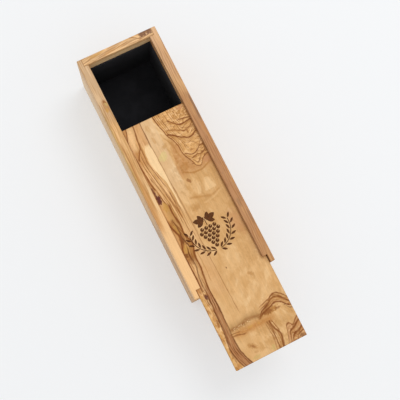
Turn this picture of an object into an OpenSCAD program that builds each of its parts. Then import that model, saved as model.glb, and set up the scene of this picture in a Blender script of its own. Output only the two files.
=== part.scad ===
// Wooden wine box with a sliding lid, lying on its back with the lid on top.
// X runs across the box and Y along it. The lid slides out at the front, -Y.
// The origin is at the middle of the box's underside, without the lid.

/* [Box] */
// Outside length, without the lid's overhang
box_l = 350; // [330:1:420]
// Outside width
box_w = 115; // [105:1:150]
// Outside height, to the top of the lips
box_h = 105; // [95:1:140]
// Thickness of the two long sides
side_t = 12.5; // [11:0.5:18]
// Thickness of the rear end
rear_t = 11; // [8:0.5:16]
// Thickness of the front end
front_t = 11; // [8:0.5:16]
// Thickness of the base
base_t = 10; // [8:0.5:16]
// Radius of the box's eased outer edges
edge_r = 1.2; // [0.4:0.1:2]
// Radius of the eased edges round the opening
lip_r = 0.8; // [0.3:0.1:1.5]

/* [Joinery] */
// Depth of the rabbets in the sides that the two ends sit in
end_rabbet_d = 6.5; // [4:0.5:8]
// Depth of the rabbets in the sides that the base sits in
base_rabbet_d = 6.5; // [4:0.5:8]
// Depth of the grooves in the sides that the lid slides in
groove_d = 6.5; // [4:0.5:8]
// Height of the lips above the lid grooves
lip_h = 5; // [3:0.5:8]

/* [Lid] */
// Thickness of the lid
lid_t = 7; // [5:0.5:10]
// How far the closed lid reaches past the front, to be gripped
lid_overhang = 4; // [0:0.5:15]
// How far the lid is drawn out
lid_open = 99; // [0:1:230]
// Clearance between each edge of the lid and its groove
lid_side_gap = 0.8; // [0.4:0.1:1.5]
// Clearance under the lid
lid_under_gap = 0.2; // [0.1:0.1:0.5]
// Clearance over the lid
lid_over_gap = 0.3; // [0.1:0.1:0.6]
// Clearance between the closed lid and the rear end
lid_stop_gap = 0.3; // [0.1:0.1:1]
// Radius of the lid's eased edges
lid_edge_r = 0.8; // [0.3:0.1:1.5]

/* [Lining] */
// Thickness of the felt
felt_t = 1.5; // [0.5:0.5:4]
// How far the top of the felt lies below the lid grooves
felt_drop = 4; // [0:0.5:20]

/* [Brads] */
// Diameter of a brad's shank
brad_d = 1.5; // [1:0.1:1.8]
// Length of a brad
brad_l = 25; // [20:1:30]
// Length of a brad's point
brad_tip_l = 2; // [1:0.5:3]
// Diameter of a brad's blunt end
brad_tip_d = 0.4; // [0.2:0.1:0.8]
// Diameter of a brad's head
head_d = 2.4; // [2:0.1:3.5]
// Thickness of a brad's head
head_t = 0.8; // [0.5:0.1:1.5]
// Depth that a head is sunk to, under the filler
head_sink = 1.2; // [0.5:0.1:2]
// Clearance round a brad and its filler
brad_gap = 0.05; // [0.03:0.01:0.1]
// Brads in each corner
corner_brads = 3; // [2:1:5]
// Brads along each side of the base
base_side_brads = 4; // [2:1:8]
// Brads along each end of the base
base_end_brads = 3; // [2:1:5]
// Distance from the top and bottom of a corner to its outer brads
corner_margin = 16; // [14:1:25]
// Distance from the ends inside the box to the base's outer side brads
base_side_margin = 30; // [15:1:60]
// Distance from the sides inside the box to the base's outer end brads
base_end_margin = 15; // [10:1:25]

/* [Engraving] */
// Depth of the burnt engraving in the lid
burn_d = 0.4; // [0.2:0.1:1]
// Diameter of a grape
grape_d = 5.2; // [4:0.2:6]
// Gap between two grapes
grape_gap = 0.7; // [0.4:0.1:1]
// Diameter of the unburnt highlight on a grape
glint_d = 1.3; // [0.8:0.1:1.6]
// Length of the vine leaf's longest lobe
vine_l = 13; // [9:0.5:15]
// Width of the vine leaf's longest lobe
vine_w = 7; // [4:0.5:9]
// Distance of each vine leaf from the middle line
vine_x = 3; // [2:0.5:6]
// Height of the bunch's stalk
stalk_l = 8; // [5:0.5:12]
// Width of the stalk and of the twigs
stalk_w = 1.1; // [0.8:0.1:1.6]
// Radius of the two olive twigs round the bunch
twig_r = 27.5; // [26:0.5:30]
// Length of an olive leaf
olive_l = 8; // [6:0.5:9]
// Width of an olive leaf
olive_w = 2.9; // [2:0.1:4]
// Gap between an olive leaf and its twig
olive_gap = 0.5; // [0.4:0.1:1]
// Pairs of leaves on a twig
olive_pairs = 7; // [5:1:8]

/* [Hidden] */
$fn = 64;

// How far a cut runs past the face that it opens in
past = 1;
left = -1;
right = 1;

inner_w = box_w - 2 * side_t;
end_w = inner_w + 2 * end_rabbet_d;
rear_y = box_l / 2;
front_y = -box_l / 2;
rear_in_y = rear_y - rear_t;
front_in_y = front_y + front_t;
inner_l = rear_in_y - front_in_y;

groove_h = lid_t + lid_under_gap + lid_over_gap;
groove_z = box_h - lip_h - groove_h;

lid_w = inner_w + 2 * (groove_d - lid_side_gap);
lid_l = rear_in_y - lid_stop_gap - front_y + lid_overhang;
lid_rear_y = rear_in_y - lid_stop_gap - lid_open;
lid_z = groove_z + lid_under_gap;

felt_top_z = groove_z - felt_drop;
felt_wall_h = felt_top_z - base_t - felt_t;

// The bunch: how many grapes each row holds, from the top down
bunch_rows = [4, 5, 4, 3, 2, 1];
grape_pitch = grape_d + grape_gap;
row_pitch = grape_pitch * sin(60);
bunch_top_y = 8;
twig_y = 4;
// The twigs' first and last leaves, as angles round the bunch from straight down
twig_start_a = 7;
twig_end_a = 98;
olive_spread_a = 40;
// Lobes of a vine leaf: direction from its stem, then size against the longest
vine_lobes = [[20, 1], [68, 0.8], [-28, 0.8], [112, 0.42]];

// ---- Shapes ----

// What rounding takes off a corner at the origin, with the material on the -X and -Y side
module corner_waste(r) {
    difference() {
        translate([-r, -r]) square(r + past);
        translate([-r, -r]) circle(r);
    }
}

module eased_rect(w, l, r) {
    difference() {
        square([w, l], center = true);
        for (mx = [0, 1], my = [0, 1])
            mirror([mx, 0]) mirror([0, my]) translate([w / 2, l / 2]) corner_waste(r);
    }
}

// A block standing on the XY plane, with all its edges rounded
module eased_block(w, l, h, r) {
    intersection() {
        linear_extrude(h) eased_rect(w, l, r);
        translate([0, l / 2, h / 2]) rotate([90, 0, 0]) linear_extrude(l) eased_rect(w, h, r);
        translate([-w / 2, 0, h / 2]) rotate([90, 0, 90]) linear_extrude(w) eased_rect(l, h, r);
    }
}

module box_outside() {
    eased_block(box_w, box_l, box_h, edge_r);
}

// A box from its low corner to its high corner
module span_box(low, high) {
    translate(low) cube(high - low);
}

module leaf(l, w) {
    r = (l * l + w * w) / (4 * w);
    translate([l / 2, 0]) intersection() {
        translate([0, r - w / 2]) circle(r);
        translate([0, w / 2 - r]) circle(r);
    }
}

// ---- Brads ----

// A brad driven down from the XY plane
module brad() {
    translate([0, 0, -head_sink - head_t]) cylinder(d = head_d, h = head_t);
    translate([0, 0, -head_sink - brad_l + brad_tip_l])
        cylinder(d = brad_d, h = brad_l - brad_tip_l);
    translate([0, 0, -head_sink - brad_l])
        cylinder(d1 = brad_tip_d, d2 = brad_d, h = brad_tip_l);
}

module brad_hole() {
    hole_l = head_sink + brad_l + brad_gap;
    translate([0, 0, -hole_l]) cylinder(d = brad_d + 2 * brad_gap, h = hole_l);
    translate([0, 0, -head_sink - head_t])
        cylinder(d = head_d + 2 * brad_gap, h = head_sink + head_t + past);
}

module filler_plug() {
    translate([0, 0, -head_sink]) cylinder(d = head_d, h = head_sink);
}

function spread(low, high, count) =
    [for (i = [0 : count - 1]) low + (high - low) * i / (count - 1)];

module at_rear_corner(hand) {
    for (z = spread(corner_margin, box_h - corner_margin, corner_brads))
        translate([hand * box_w / 2, rear_y - rear_t / 2, z]) rotate([0, hand * 90, 0]) children();
}

module at_front_corner(hand) {
    for (z = spread(corner_margin, groove_z - corner_margin, corner_brads))
        translate([hand * box_w / 2, front_y + front_t / 2, z]) rotate([0, hand * 90, 0]) children();
}

module at_base_side(hand) {
    x = inner_w / 2 + base_rabbet_d / 2;
    for (y = spread(front_in_y + base_side_margin, rear_in_y - base_side_margin, base_side_brads))
        translate([hand * x, y, 0]) rotate([180, 0, 0]) children();
}

module at_base_rear() {
    for (x = spread(base_end_margin - inner_w / 2, inner_w / 2 - base_end_margin, base_end_brads))
        translate([x, rear_y, base_t / 2]) rotate([-90, 0, 0]) children();
}

module at_base_front() {
    for (x = spread(base_end_margin - inner_w / 2, inner_w / 2 - base_end_margin, base_end_brads))
        translate([x, front_y, base_t / 2]) rotate([90, 0, 0]) children();
}

// ---- Wood ----

// The right side. The left side is its mirror image.
module side_board() {
    in_x = inner_w / 2;
    difference() {
        intersection() {
            span_box([in_x, front_y, 0], [box_w / 2, rear_y, box_h]);
            box_outside();
        }
        // Groove for the lid, open at the front
        span_box([in_x - past, front_y - past, groove_z], [in_x + groove_d, rear_in_y, box_h - lip_h]);
        // Rabbets for the base and for the two ends
        span_box([in_x - past, front_in_y, -past], [in_x + base_rabbet_d, rear_in_y, base_t]);
        span_box([in_x - past, rear_in_y, -past], [in_x + end_rabbet_d, rear_y + past, box_h + past]);
        span_box([in_x - past, front_y - past, -past], [in_x + end_rabbet_d, front_in_y, box_h + past]);
        // Eased edge of the lip
        translate([in_x, rear_y, box_h]) rotate([90, 0, 0]) linear_extrude(box_l)
            mirror([1, 0]) corner_waste(lip_r);
        at_rear_corner(right) brad_hole();
        at_front_corner(right) brad_hole();
        at_base_side(right) brad_hole();
    }
}

module left_side() {
    color("burlywood") mirror([1, 0, 0]) side_board();
}

module right_side() {
    color("burlywood") side_board();
}

module rear_end() {
    color("tan") difference() {
        intersection() {
            span_box([-end_w / 2, rear_in_y, 0], [end_w / 2, rear_y, box_h]);
            box_outside();
        }
        translate([-end_w / 2, rear_in_y, box_h]) rotate([90, 0, 90]) linear_extrude(end_w)
            mirror([1, 0]) corner_waste(lip_r);
        at_rear_corner(left) brad_hole();
        at_rear_corner(right) brad_hole();
        at_base_rear() brad_hole();
    }
}

module front_end() {
    color("tan") difference() {
        intersection() {
            span_box([-end_w / 2, front_y, 0], [end_w / 2, front_in_y, groove_z]);
            box_outside();
        }
        translate([-end_w / 2, front_y, groove_z]) rotate([90, 0, 90]) linear_extrude(end_w)
            mirror([1, 0]) corner_waste(lip_r);
        at_front_corner(left) brad_hole();
        at_front_corner(right) brad_hole();
        at_base_front() brad_hole();
    }
}

module base_panel() {
    half_w = inner_w / 2 + base_rabbet_d;
    color("tan") difference() {
        span_box([-half_w, front_in_y, 0], [half_w, rear_in_y, base_t]);
        at_base_side(left) brad_hole();
        at_base_side(right) brad_hole();
        at_base_rear() brad_hole();
        at_base_front() brad_hole();
    }
}

module sliding_lid() {
    color("burlywood") difference() {
        translate([0, lid_rear_y - lid_l / 2, lid_z]) eased_block(lid_w, lid_l, lid_t, lid_edge_r);
        translate([0, lid_rear_y - lid_l / 2, lid_z + lid_t - burn_d])
            linear_extrude(burn_d + past) engraving();
    }
}

// ---- Engraving: a bunch of grapes between two olive twigs ----

module engraving() {
    bunch();
    for (m = [0, 1]) mirror([m, 0]) {
        vine_leaf();
        olive_twig();
    }
}

module bunch() {
    for (row = [0 : len(bunch_rows) - 1], i = [0 : bunch_rows[row] - 1])
        translate([(i - (bunch_rows[row] - 1) / 2) * grape_pitch, bunch_top_y - row * row_pitch])
            grape();
    translate([-stalk_w / 2, bunch_top_y + grape_d / 2 + grape_gap]) square([stalk_w, stalk_l]);
}

module grape() {
    difference() {
        circle(d = grape_d);
        translate([grape_d / 5, grape_d / 5]) circle(d = glint_d);
    }
}

module vine_leaf() {
    stem_y = bunch_top_y + grape_d / 2 + grape_gap + stalk_l * 0.8;
    translate([vine_x, stem_y]) {
        // Where the lobes meet
        circle(stalk_w);
        for (lobe = vine_lobes) rotate(lobe[0]) leaf(vine_l * lobe[1], vine_w * lobe[1]);
    }
}

module olive_twig() {
    stem_clear = stalk_w / 2 + olive_gap;
    translate([0, twig_y]) {
        twig_arc();
        for (a = spread(twig_start_a, twig_end_a, olive_pairs)) rotate(a - 90) {
            translate([twig_r + stem_clear, 0]) rotate(90 - olive_spread_a) leaf(olive_l, olive_w);
            translate([twig_r - stem_clear, 0]) rotate(90 + olive_spread_a) leaf(olive_l, olive_w);
        }
    }
}

module twig_arc() {
    // The half of the ring that lies between the first and the last leaf
    intersection() {
        difference() {
            circle(twig_r + stalk_w / 2);
            circle(twig_r - stalk_w / 2);
        }
        polygon([[0, 0], 2 * twig_r * [sin(twig_start_a), -cos(twig_start_a)],
            2 * twig_r * [1, -1], 2 * twig_r * [sin(twig_end_a), -cos(twig_end_a)]]);
    }
}

// ---- Felt ----

module floor_lining() {
    color("black")
        span_box([-inner_w / 2, front_in_y, base_t], [inner_w / 2, rear_in_y, base_t + felt_t]);
}

// The right one. The left one is its mirror image.
module side_felt() {
    translate([inner_w / 2 - felt_t, front_in_y + felt_t, base_t + felt_t])
        cube([felt_t, inner_l - 2 * felt_t, felt_wall_h]);
}

module left_lining() {
    color("black") mirror([1, 0, 0]) side_felt();
}

module right_lining() {
    color("black") side_felt();
}

module end_felt() {
    translate([-inner_w / 2, 0, base_t + felt_t]) cube([inner_w, felt_t, felt_wall_h]);
}

module rear_lining() {
    color("black") translate([0, rear_in_y - felt_t, 0]) end_felt();
}

module front_lining() {
    color("black") translate([0, front_in_y, 0]) end_felt();
}

// ---- Fasteners, in groups ----

module rear_left_brads() {
    color("silver") at_rear_corner(left) brad();
}

module rear_right_brads() {
    color("silver") at_rear_corner(right) brad();
}

module front_left_brads() {
    color("silver") at_front_corner(left) brad();
}

module front_right_brads() {
    color("silver") at_front_corner(right) brad();
}

module base_left_brads() {
    color("silver") at_base_side(left) brad();
}

module base_right_brads() {
    color("silver") at_base_side(right) brad();
}

module base_rear_brads() {
    color("silver") at_base_rear() brad();
}

module base_front_brads() {
    color("silver") at_base_front() brad();
}

module left_filler() {
    color("peru") {
        at_rear_corner(left) filler_plug();
        at_front_corner(left) filler_plug();
    }
}

module right_filler() {
    color("peru") {
        at_rear_corner(right) filler_plug();
        at_front_corner(right) filler_plug();
    }
}

module rear_filler() {
    color("peru") at_base_rear() filler_plug();
}

module front_filler() {
    color("peru") at_base_front() filler_plug();
}

module base_filler() {
    color("peru") {
        at_base_side(left) filler_plug();
        at_base_side(right) filler_plug();
    }
}

left_side();
right_side();
rear_end();
front_end();
base_panel();
sliding_lid();
floor_lining();
left_lining();
right_lining();
rear_lining();
front_lining();
rear_left_brads();
rear_right_brads();
front_left_brads();
front_right_brads();
base_left_brads();
base_right_brads();
base_rear_brads();
base_front_brads();
left_filler();
right_filler();
rear_filler();
front_filler();
base_filler();
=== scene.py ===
import math

import bpy
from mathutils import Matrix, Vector, noise


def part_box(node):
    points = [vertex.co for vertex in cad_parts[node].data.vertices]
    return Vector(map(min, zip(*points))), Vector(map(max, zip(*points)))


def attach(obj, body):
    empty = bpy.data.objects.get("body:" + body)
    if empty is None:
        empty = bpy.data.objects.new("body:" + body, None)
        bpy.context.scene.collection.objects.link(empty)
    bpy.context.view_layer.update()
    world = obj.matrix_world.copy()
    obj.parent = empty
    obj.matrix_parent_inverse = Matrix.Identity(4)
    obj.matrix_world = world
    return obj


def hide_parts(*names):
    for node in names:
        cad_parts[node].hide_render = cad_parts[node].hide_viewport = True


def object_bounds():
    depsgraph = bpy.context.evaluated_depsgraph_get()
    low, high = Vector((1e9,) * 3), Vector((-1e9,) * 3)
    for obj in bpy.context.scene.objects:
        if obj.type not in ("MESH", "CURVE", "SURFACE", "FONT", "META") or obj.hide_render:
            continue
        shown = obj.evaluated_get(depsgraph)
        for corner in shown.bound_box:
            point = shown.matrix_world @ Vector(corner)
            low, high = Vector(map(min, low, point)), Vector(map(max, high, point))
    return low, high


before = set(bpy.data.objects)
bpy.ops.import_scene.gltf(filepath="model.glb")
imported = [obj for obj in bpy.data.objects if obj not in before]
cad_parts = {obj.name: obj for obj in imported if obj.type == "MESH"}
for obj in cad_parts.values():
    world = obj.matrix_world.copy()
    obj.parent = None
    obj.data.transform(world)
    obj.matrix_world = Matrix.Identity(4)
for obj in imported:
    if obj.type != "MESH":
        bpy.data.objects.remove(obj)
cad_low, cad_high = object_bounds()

# Places and sizes on the wood are in millimetres, in the frame at rest: x across the box, y along it, z up.
MM = 0.001


def add(name, data):
    """A new object in the scene."""
    made = bpy.data.objects.new(name, data)
    bpy.context.scene.collection.objects.link(made)
    return made


# ---------- Colours ----------

def srgb(red, green, blue):
    """A colour as a screen shows it, 0 to 255 a channel, as the linear colour that a shader takes."""
    def linear(level):
        share = level / 255
        return share / 12.92 if share <= 0.04045 else ((share + 0.055) / 1.055) ** 2.4
    return linear(red), linear(green), linear(blue), 1.0


CREAM = srgb(251, 213, 160)
PEACH = srgb(249, 201, 144)
GREY_CREAM = srgb(240, 216, 182)
PALE = srgb(233, 188, 132)
AMBER = srgb(229, 176, 111)
STRAW = srgb(222, 200, 130)
FAWN = srgb(222, 180, 142)
HONEY = srgb(219, 170, 111)
TAN = srgb(204, 154, 94)
GOLD = srgb(210, 158, 78)
MOSS = srgb(202, 172, 104)
ROSE = srgb(203, 144, 98)
ORANGE = srgb(198, 138, 76)
WARM = srgb(199, 142, 86)
CLAY = srgb(190, 138, 94)
KHAKI = srgb(176, 132, 78)
COCOA = srgb(172, 114, 72)
OCHRE = srgb(180, 122, 58)
BROWN = srgb(152, 94, 44)
RUSSET = srgb(136, 76, 28)
UMBER = srgb(108, 56, 14)
KNOT = srgb(104, 52, 40)
BURL = srgb(134, 96, 72)
SMOKE = srgb(140, 104, 78)
BURNT = srgb(105, 56, 20)
CHAR = srgb(75, 39, 13)
FELT = srgb(34, 34, 37)
FELT_GREY = srgb(58, 58, 62)
STEEL = srgb(176, 176, 172)
PUTTY = srgb(196, 150, 102)
PUTTY_GRIT = srgb(158, 112, 70)
WHITE = srgb(247, 247, 247)
FLOOR = srgb(244, 247, 250)
HORIZON = srgb(235, 236, 236)


# ---------- A small language for shader nodes ----------
# The functions below that draw with it call the tree they draw in s.

class Field:
    """A value that changes over a surface. Plain arithmetic on it adds the shader's nodes."""

    def __init__(self, nodes, socket):
        self.nodes = nodes
        self.socket = socket

    def __add__(self, other):
        return self.nodes.math("ADD", self, other)

    def __sub__(self, other):
        return self.nodes.math("SUBTRACT", self, other)

    def __rsub__(self, other):
        return self.nodes.math("SUBTRACT", other, self)

    def __mul__(self, other):
        return self.nodes.math("MULTIPLY", self, other)

    def __truediv__(self, other):
        return self.nodes.math("DIVIDE", self, other)

    __radd__ = __add__
    __rmul__ = __mul__


class Nodes:
    """The nodes of one tree, and the colour made with them so far. Most calls add a few nodes and give what
    comes out of them. The others lay tones over the colour, or shade it."""

    def __init__(self, tree):
        self.tree = tree
        self.sums = {}
        self.colour = None

    def node(self, kind, *values, **settings):
        """A new node, with fields or plain values on its first inputs. A setting that is right already isn't
        set again, which is slow in a large tree."""
        made = self.tree.nodes.new(kind)
        for name, value in settings.items():
            if getattr(made, name) != value:
                setattr(made, name, value)
        for value, socket in zip(values, made.inputs):
            self.put(value, socket)
        return made

    def put(self, value, socket):
        """Links a field to the socket, or sets the socket to a plain value."""
        if isinstance(value, Field):
            self.tree.links.new(value.socket, socket)
        else:
            socket.default_value = value

    def split(self, socket):
        parts = self.node("ShaderNodeSeparateXYZ", Field(self, socket))
        return [Field(self, out) for out in parts.outputs]

    def math(self, operation, *values):
        """One sum. A sum that was made before is used again."""
        key = operation, *values
        if key not in self.sums:
            node = self.node("ShaderNodeMath", *values, operation=operation)
            self.sums[key] = Field(self, node.outputs[0])
        return self.sums[key]

    def least(self, *values):
        found = values[0]
        for value in values[1:]:
            found = self.math("MINIMUM", found, value)
        return found

    def most(self, one, other):
        return self.math("MAXIMUM", one, other)

    def step(self, value, start, end):
        """0 up to start, 1 from end on, and smooth between them. End may lie below start."""
        settings = {"interpolation_type": "SMOOTHSTEP", "clamp": False}
        return Field(self, self.node("ShaderNodeMapRange", value, start, end, **settings).outputs[0])

    def span(self, value, low, high, fade):
        """1 between low and high, fading to 0 over fade outside them."""
        return self.step(value, low - fade, low) * self.step(value, high + fade, high)

    def bell(self, value, width):
        """1 where value is 0, falling smoothly to 0 where it is width or more either way."""
        return self.step(self.math("ABSOLUTE", value), width, 0.0)

    def noise(self, x, y, z=0.0, detail=2.0, roughness=0.5):
        """Soft noise from 0 to 1, with features about 1 wide."""
        place = self.node("ShaderNodeCombineXYZ", x, y, z)
        node = self.node("ShaderNodeTexNoise")
        self.put(Field(self, place.outputs[0]), node.inputs["Vector"])
        for name, value in (("Scale", 1.0), ("Detail", detail), ("Roughness", roughness)):
            node.inputs[name].default_value = value
        return Field(self, node.outputs[0])

    def sway(self, amount, *place):
        """A smooth noise that moves things up to about amount either way."""
        return (self.noise(*place, detail=1) - 0.5) * (2 * amount)

    def guide(self, along, knots):
        """The smooth curve through given knots, each (along, across), as across for any along."""
        first, *middle, last = sorted(knots)
        node = self.node("ShaderNodeFloatCurve")
        node.mapping.use_clip = False
        node.mapping.extend = "HORIZONTAL"
        points = node.mapping.curves[0].points
        points[0].location, points[1].location = first, last
        for knot in middle:
            points.new(*knot)
        node.mapping.update()
        self.put(along, node.inputs["Value"])
        return Field(self, node.outputs[0])

    def spot(self, x, y, place, size, turn=0.0, core=0.2, ragged=0.0):
        """A soft oval: 1 in its core and 0 at its half sizes, turned anticlockwise by turn degrees."""
        cosine, sine = math.cos(math.radians(turn)), math.sin(math.radians(turn))
        right, up = x - place[0], y - place[1]
        u = (right * cosine + up * sine) / size[0]
        v = (up * cosine - right * sine) / size[1]
        return self.step(u * u + v * v + ragged, 1.0, core)

    def rings(self, field, along, spacing, seed, width):
        """Nested lines where a field passes each whole number of spacings, some strong and some faint.
        Gives the lines, and how far each point is on its way from one line to the next."""
        phase = field / spacing + self.sway(0.5, field / (spacing * 2.3), along / (spacing * 7), seed)
        nearest = self.math("ROUND", phase)
        gap = self.math("ABSOLUTE", phase - nearest) * spacing
        strength = self.noise(nearest * 7.3, along / (spacing * 9), seed + 2.1, detail=0)
        return self.bell(gap, width) * self.step(strength, 0.3, 0.62), self.math("FRACT", phase)

    def mix(self, share, under, over):
        """The colour under with the colour over laid on it, by a share of 0 to 1."""
        node = self.node("ShaderNodeMix", data_type="RGBA")
        for value, socket in zip((share, under, over), (node.inputs[0], node.inputs[6], node.inputs[7])):
            self.put(value, socket)
        return Field(self, node.outputs[2])

    def lay(self, share, tone):
        """Lays a tone over the colour."""
        self.colour = self.mix(share, self.colour, tone)

    def mottle(self, cloud, share, *tones):
        """Lays tones where a noise is high or low. Each is (start, end, tone, strength), as in step."""
        for start, end, tone, strength in tones:
            self.lay(self.step(cloud, start, end) * share * strength, tone)

    def spots(self, x, y, share, *rows):
        """Lays soft ovals. Each is (place, size, tone, strength), with its turn if it is turned."""
        for place, size, tone, strength, *turn in rows:
            self.lay(self.spot(x, y, place, size, *turn) * share * strength, tone)

    def shade(self, amount):
        """Makes the colour darker or lighter: amount is a field that is 1 where it stays as it is."""
        node = self.node("ShaderNodeVectorMath", operation="SCALE")
        self.put(self.colour, node.inputs[0])
        self.put(amount, node.inputs["Scale"])
        self.colour = Field(self, node.outputs[0])


class Shader(Nodes):
    """One material, worked out from the place of each point on the object at rest."""

    def __init__(self, name, colour):
        self.material = bpy.data.materials.new(name)
        self.material.use_nodes = True
        super().__init__(self.material.node_tree)
        self.colour = colour
        self.surface = self.tree.nodes["Principled BSDF"]
        coordinates = self.node("ShaderNodeTexCoord")
        in_mm = self.node("ShaderNodeVectorMath", operation="SCALE")
        in_mm.inputs["Scale"].default_value = 1 / MM
        self.put(Field(self, coordinates.outputs["Object"]), in_mm.inputs[0])
        self.x, self.y, self.z = self.split(in_mm.outputs[0])
        self.facing_x, self.facing_y, self.facing_z = self.split(coordinates.outputs["Normal"])

    def finish(self, roughness, height, **plain):
        """Gives the surface its colour, roughness, height in millimetres, and what is the same all over."""
        relief = self.node("ShaderNodeBump")
        relief.inputs["Strength"].default_value = 1.0
        relief.inputs["Distance"].default_value = MM
        self.put(height, relief.inputs["Height"])
        self.put(self.colour, self.surface.inputs["Base Color"])
        self.put(roughness, self.surface.inputs["Roughness"])
        self.put(Field(self, relief.outputs[0]), self.surface.inputs["Normal"])
        for name, value in plain.items():
            self.surface.inputs[name.replace("_", " ")].default_value = value
        return self.material


# ---------- Boards of olive wood ----------

# How far the figure on a rail moves outwards for each millimetre down its faces, so that it folds over them
FOLD = 0.7


class Board(Shader):
    """The olive wood of one board. Grain is "y" or "x", the way it runs in a board that stands on its edge,
    or "flat" for a board that lies, where it runs along y."""

    def __init__(self, name, node, grain, seed, colour):
        super().__init__(name, colour)
        self.seed = seed
        self.low, self.high = [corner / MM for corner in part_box(node)]
        x, y, z = self.x, self.y, self.z
        self.along, self.across, self.depth = {"y": (y, z, x), "x": (x, z, y), "flat": (y, x, z)}[grain]
        self.end_grain = self.math("ABSOLUTE", self.facing_x if grain == "x" else self.facing_y)

    def growth_lines(self, ring, spacing, seed, thin):
        """Fine dark lines that run with the rings, and part, join and fade as they go."""
        level = self.noise(ring / spacing, self.along / (spacing * 45), seed, detail=2.5)
        strength = self.noise(ring / (spacing * 2.6), self.along / (spacing * 16), seed + 3.7)
        return self.bell(level - 0.5, thin) * self.step(strength, 0.36, 0.62)

    def near_edge(self):
        """How far each point is from the nearest edge of the board's box, in millimetres."""
        x, y, z = [
            self.least(place - low, high - place)
            for place, low, high in zip((self.x, self.y, self.z), self.low, self.high)
        ]
        return self.least(x + y, y + z, x + z)

    def oiled(self, burn=0.0):
        """Adds what all the boards share: fibres, pores, darker end grain and edges, and an oiled surface.
        Burn is 1 where the wood is burnt, and duller for it."""
        along, across, depth, seed = self.along, self.across, self.depth, self.seed
        streak = self.noise(across / 1.7, along / 34, depth / 1.7 + seed, detail=3)
        fibre = self.noise(across / 0.4, along / 9, depth / 0.4 + seed, detail=1)
        pore = self.step(self.noise(across / 0.3, along / 2.6, depth / 0.3 + seed, detail=0), 0.69, 0.78)
        shade = 1 + (streak - 0.5) * 0.3 + (fibre - 0.5) * 0.14 - pore * 0.16
        edge = self.near_edge() + self.sway(0.4, self.x / 6, self.y / 6, self.z / 6)
        self.shade(shade * (1 - self.step(edge, 1.3, 0.2) * 0.14) * (1 - self.end_grain * 0.13))
        roughness = 0.5 + (streak - 0.5) * 0.2 + self.end_grain * 0.12 + burn * 0.25
        return self.finish(roughness, fibre * 0.03 - pore * 0.05, Specular_IOR_Level=0.16)


def olive_board(name, node, grain, seed, pith, figure, knots=(), own_tones=None):
    """A board with rings round a line at pith, (across, depth). Figure gives how strong its dark figure is,
    each knot is (along, across, size), and own_tones lays tones that only this board has."""
    s = Board(name, node, grain, seed, TAN)
    along, across, depth = s.along, s.across, s.depth
    a, d = across - pith[0], depth - pith[1]
    warp = s.sway(15, along / 150, across / 70, depth / 70 + seed)
    warp = warp + s.sway(4, along / 42, across / 17, depth / 17 + seed)
    ring = s.math("SQRT", a * a + d * d) + warp
    hearts = 0.0
    for knot_along, knot_across, size in knots:
        u = (along - knot_along) / (size * 3.2)
        v = (across - knot_across + warp * 0.3) / (size * 1.7)
        near = s.step(u * u + v * v, 1.0, 0.0)
        ring = ring + near * near * size * 2
        hearts = s.most(hearts, s.step(near, 0.9, 0.97))
    strength = figure(s)
    cloud = s.noise(along / 60, across / 24, depth / 24 + seed, detail=3)
    s.lay(s.step(cloud, 0.32, 0.68), PALE)
    band = s.noise(ring / 12, along / 260, seed + 1.3, detail=2)
    s.lay(s.step(band, 0.5, 0.7) * strength * 0.7, OCHRE)
    s.lay(s.step(band, 0.44, 0.3) * 0.5, HONEY)
    dark = s.noise(ring / 17, along / 190, seed + 8.1, detail=3)
    s.lay(s.step(dark, 0.56, 0.7) * strength * 0.65, BROWN)
    s.lay(s.growth_lines(ring, 9, seed + 2.2, 0.04) * strength * 0.85, UMBER)
    s.lay(s.growth_lines(ring, 4, seed + 6.4, 0.06) * (strength * 0.5 + 0.12), BROWN)
    warm = s.noise(along / 90, across / 15, depth / 15 + seed + 4.4)
    s.lay(s.step(warm, 0.55, 0.8) * 0.35, ROSE)
    s.lay(hearts * 0.85, KNOT)
    if own_tones:
        own_tones(s)
    return s.oiled()


def calm_top(s):
    """How strongly a long side is figured: 0.3 by its top, rising to 0.7 further down its faces."""
    return 0.3 + 0.4 * s.step(s.z + s.sway(10, s.y / 60, s.x / 60, 4), 104, 78)


def along_rail(s, outward, seed):
    """Wavy x and y for a long side, whose figure folds over its edges. Outward is -1 or 1."""
    folded = s.x + (s.high.z - s.z) * (outward * FOLD)
    x = folded + s.sway(1.0, folded / 6, s.y / 30, seed)
    y = s.y + s.sway(3, folded / 5, s.y / 20, seed + 5)
    return x, y


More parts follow.
